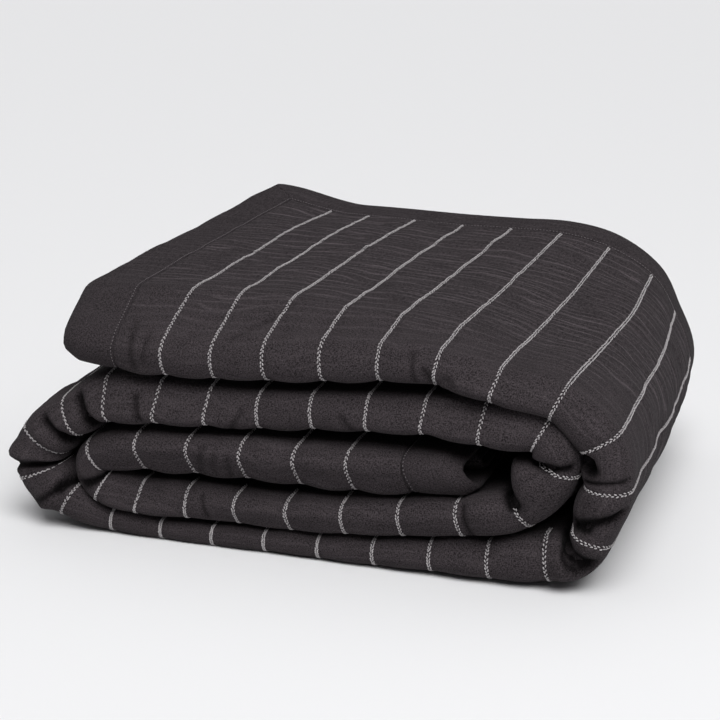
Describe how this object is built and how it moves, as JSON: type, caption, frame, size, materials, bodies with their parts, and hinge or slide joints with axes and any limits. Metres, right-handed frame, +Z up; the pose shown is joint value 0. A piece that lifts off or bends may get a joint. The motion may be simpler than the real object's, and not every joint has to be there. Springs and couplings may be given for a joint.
{
  "type": "coverlet",
  "caption": "Quilted coverlet with light stitched stripes and a plain border, folded lengthwise and rolled flat into a soft bundle, to be laid on a shelf or spread over a bed.",
  "frame": {"origin": "under the middle of the bundle, on the surface that it rests on", "axes": "+X along the folded strip to the right, +Y to the back where the cloth's edges lie, +Z up"},
  "size_m": [0.5692, 0.442, 0.2456],
  "materials": {
    "quilted_cloth": "matt washed cotton, very dark warm grey",
    "border_cloth": "matt washed cotton, very dark warm grey, unquilted",
    "stripe_thread": "matt light grey embroidery thread",
    "hem_thread": "matt grey sewing thread"
  },
  "bodies": {
    "root": {"quilted_panel": "quilted_cloth", "border_side_top": "border_cloth", "border_side_under": "border_cloth", "border_end_outer": "border_cloth", "border_end_inner": "border_cloth"}
  },
  "joints": []
}
